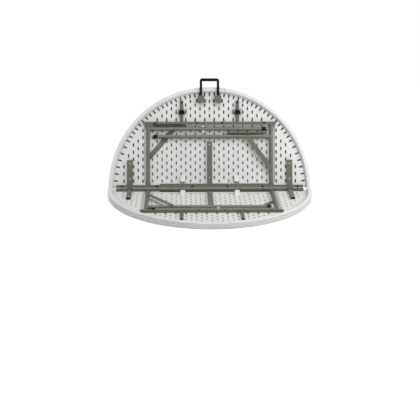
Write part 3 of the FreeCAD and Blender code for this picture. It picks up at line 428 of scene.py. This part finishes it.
# Painted shade for the insides of the open channels.
CHANNEL_PAINTED_SHADE = (0.005, 0.005, 0.004, 1)


def finished(node, material):
    """A CAD node keeps its shape and gets this finish."""
    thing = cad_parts[node]
    if not thing.data.materials:
        thing.data.materials.append(material)
    for index in range(len(thing.material_slots)):
        thing.material_slots[index].material = material


def powder_coat(name, colour, darker):
    """Thick paint with a faint orange-peel relief."""
    finish = Finish(name, Specular_IOR_Level=0.5)
    tone = finish.noise(14.0, 3.0).between(0.3, 0.7)
    finish.feed("Base Color", finish.mix(tone, darker, colour))
    finish.feed("Roughness", finish.noise(60.0) * 0.12 + 0.36)
    finish.relief(finish.noise(500.0), 0.25)
    return finish.material


def channel_coat_with_painted_shade(half, piece, top, place=0.0, half_width=1.0):
    """The paint of an open channel, with nearly black painted shade inside it: everything lower than
    its top sheet and nearer than half_width to its middle line. The height is the one in the half's
    own frame, n . (p - hinge)."""
    finish = Finish(f"{half} {piece} paint", Specular_IOR_Level=0.4)
    hinge = carry(half, (0, 0, 0))
    normal = carry(half, (0, 0, 1)) - hinge
    height = finish.node("ShaderNodeVectorMath", {"operation": "DOT_PRODUCT"},
                         {0: finish.place(), 1: tuple(normal)}, output="Value")
    above = (height - float(normal @ hinge)).between(top - 0.0004, top - 0.0001)
    axis_x = finish.node("ShaderNodeSeparateXYZ", None, {0: finish.place()}, output="X")
    from_middle = ((axis_x.size() - place).size()).between(half_width - 0.0001, half_width + 0.0002)
    open_air = above + from_middle - above * from_middle
    tone = finish.noise(14.0, 3.0).between(0.3, 0.7)
    coat = finish.mix(tone, FRAME_GREY_DARKER, FRAME_GREY)
    # Painted shade: nearly black inside the channel, the grey coat outside it.
    finish.feed("Base Color", finish.mix(open_air, CHANNEL_PAINTED_SHADE, coat))
    finish.feed("Roughness", finish.noise(60.0) * 0.12 + 0.38)
    return finish.material


# The leg tubes get the lighter copy of the powder coat: a painted highlight.
tube_grey_painted_highlight = powder_coat("grey powder coat on tubes", TUBE_GREY_PAINTED_HIGHLIGHT, TUBE_GREY_PAINTED_HIGHLIGHT_DARKER)
grey = powder_coat("grey powder coat", FRAME_GREY, FRAME_GREY_DARKER)
dark_grey = powder_coat("dark grey stay links", STAY_GREY, STAY_GREY_DARKER)
for half in ("front", "back"):
    for piece in STEEL_PIECES:
        finished(f"{half}_{piece}", grey)
    for piece in TUBES:
        finished(f"{half}_{piece}", tube_grey_painted_highlight)
    finished(f"{half}_rail_liner", channel_coat_with_painted_shade(half, "liner", LINER_TOP))
    strap_coat_with_painted_shade = channel_coat_with_painted_shade(half, "strap", STRAP_UNDER, STRAP_CHANNEL[0], STRAP_INSIDE[half])
    bar_coat_with_painted_shade = channel_coat_with_painted_shade(half, "latch bar", BAR_UNDER, *BAR_CHANNEL[:2])
    for side in ("left", "right"):
        finished(f"{half}_strap_{side}", strap_coat_with_painted_shade)
        finished(f"{half}_latch_bar_{side}", bar_coat_with_painted_shade)
    for piece in STAYS:
        finished(f"{half}_{piece}", dark_grey)

# ---------------------------------------------------------------------------------------------
# Black plastic: the foot caps pushed over the ends of the legs, the levers of the two latches and
# the carrying handle, all moulded in satin black. The handle slides in two guides, which are
# painted as the frame is.
# ---------------------------------------------------------------------------------------------

BLACK, BLACK_LIGHTER = (0.005, 0.005, 0.005, 1), (0.008, 0.008, 0.0075, 1)


def black_moulding():
    """Black plastic with a slightly uneven sheen."""
    finish = Finish("black moulded plastic", Specular_IOR_Level=0.12)
    tone = finish.noise(30.0)
    finish.feed("Base Color", finish.mix(tone, BLACK, BLACK_LIGHTER))
    finish.feed("Roughness", finish.noise(80.0) * 0.10 + 0.30)
    return finish.material


black = black_moulding()
for half in ("front", "back"):
    for piece in ("outer_foot", "inner_foot"):
        finished(f"{half}_{piece}", black)
for piece in ("back_latch_left", "back_latch_right", "back_handle"):
    finished(piece, black)
for side in ("left", "right"):
    finished(f"back_handle_guide_{side}", grey)

# ---------------------------------------------------------------------------------------------
# The cream leg clips: one on each half. Each is a cradle moulded in nylon that stands in the bay,
# and the outer leg snaps into it when it is stowed.
# ---------------------------------------------------------------------------------------------

CREAM, CREAM_DARKER = (0.66, 0.65, 0.57, 1), (0.60, 0.59, 0.51, 1)


def cream_nylon():
    """Undyed nylon, a little uneven in colour."""
    finish = Finish("cream nylon", Specular_IOR_Level=0.4)
    tone = finish.noise(40.0)
    finish.feed("Base Color", finish.mix(tone, CREAM_DARKER, CREAM))
    finish.feed("Roughness", finish.noise(120.0) * 0.10 + 0.45)
    return finish.material


cream = cream_nylon()
for half in ("front", "back"):
    finished(f"{half}_leg_clip", cream)

# ---------------------------------------------------------------------------------------------
# Fasteners and wire: black screws through the rails and the latch bars, zinc rivets on the straps
# and the centre brace, the two hinge rods and the wire loops of the latches.
# ---------------------------------------------------------------------------------------------


def plated(name, colour, metal, rough, specular):
    """A thin coat on steel: its colour, or one 15% darker, in spots."""
    finish = Finish(name, Metallic=metal, Specular_IOR_Level=specular)
    tone = finish.noise(60.0)
    dull = tuple(0.85 * c for c in colour[:3]) + (1,)
    finish.feed("Base Color", finish.mix(tone, dull, colour))
    finish.feed("Roughness", finish.noise(150.0) * 0.15 + rough)
    return finish.material


black_oxide = plated("black oxide screws", (0.002, 0.002, 0.002, 1), 0.0, 0.50, 0.02)
zinc = plated("zinc", (0.62, 0.62, 0.60, 1), 0.5, 0.40, 0.4)
wire = plated("dull wire", (0.12, 0.12, 0.12, 1), 0.6, 0.35, 0.3)
for half in ("front", "back"):
    finished(f"{half}_screws", black_oxide)
    finished(f"{half}_rivets", zinc)
finished("back_hinge_pins", zinc)
for side in ("left", "right"):
    finished(f"back_latch_bail_{side}", wire)

# ---------------------------------------------------------------------------------------------
# The studio: a white paper floor that glows slightly, an even sky, a broad key light from the front
# and above, a soft lamp on the right that fills the shadows, and the camera.
# ---------------------------------------------------------------------------------------------

FLOOR_SIZE, FLOOR_DROP, FLOOR_GLOW = 40.0, 0.0005, 0.15
SKY_STRENGTH, KEY_STRENGTH, KEY_SPREAD = 0.57, 1.58, math.radians(40)
KEY_AHEAD = Vector((0.0, 0.35, -1.0))
FILL_POWER, FILL_SIZE = 21.0, 1.5
FILL_PLACE, FILL_TARGET = Vector((1.7, -1.0, 1.3)), Vector((0, 0, 0.3))
CAMERA_PLACE = Vector((-0.1557, -4.8928, 1.6276))
CAMERA_AHEAD, CAMERA_UP = Vector((0.0080, 0.9485, -0.3167)), Vector((0.0027, 0.3166, 0.9486))
CAMERA_LENS, CAMERA_SENSOR = 73.2, 36.0
CAMERA_SHIFT_X, CAMERA_SHIFT_Y = 0.0457, -0.0365

corners = [(x * FLOOR_SIZE, y * FLOOR_SIZE, -FLOOR_DROP)
           for x, y in ((-1, -1), (1, -1), (1, 1), (-1, 1))]
floor_mesh = bpy.data.meshes.new("floor")
floor_mesh.from_pydata(corners, [], [(0, 1, 2, 3)])
floor = bpy.data.objects.new("floor", floor_mesh)
bpy.context.scene.collection.objects.link(floor)
paper = Finish("lit white paper", Roughness=0.9, Base_Color=(0.85, 0.85, 0.85, 1),
               Emission_Color=(1, 1, 1, 1), Emission_Strength=FLOOR_GLOW)
floor_mesh.materials.append(paper.material)

world = bpy.data.worlds.new("studio")
bpy.context.scene.world = world
world.use_nodes = True
sky = world.node_tree.nodes["Background"]
sky.inputs["Color"].default_value = (1, 1, 1, 1)
sky.inputs["Strength"].default_value = SKY_STRENGTH

key_light = bpy.data.lights.new("key", "SUN")
key_light.energy, key_light.angle = KEY_STRENGTH, KEY_SPREAD
key = bpy.data.objects.new("key", key_light)
key.rotation_mode = "QUATERNION"
key.rotation_quaternion = KEY_AHEAD.to_track_quat("-Z", "Y")
bpy.context.scene.collection.objects.link(key)

fill_light = bpy.data.lights.new("fill", "AREA")
fill_light.energy, fill_light.size = FILL_POWER, FILL_SIZE
fill = bpy.data.objects.new("fill", fill_light)
fill.location = FILL_PLACE
fill.rotation_mode = "QUATERNION"
fill.rotation_quaternion = (FILL_TARGET - FILL_PLACE).to_track_quat("-Z", "Y")
bpy.context.scene.collection.objects.link(fill)
bpy.context.scene.view_settings.view_transform = "Standard"

camera_data = bpy.data.cameras.new("camera")
camera_data.lens, camera_data.sensor_width = CAMERA_LENS, CAMERA_SENSOR
camera_data.shift_x, camera_data.shift_y = CAMERA_SHIFT_X, CAMERA_SHIFT_Y
camera = bpy.data.objects.new("camera", camera_data)
camera.location = CAMERA_PLACE
camera.rotation_mode = "QUATERNION"
axes = Matrix((CAMERA_AHEAD.cross(CAMERA_UP), CAMERA_UP, -CAMERA_AHEAD))
camera.rotation_quaternion = axes.transposed().to_quaternion()
bpy.context.scene.collection.objects.link(camera)
bpy.context.scene.camera = camera
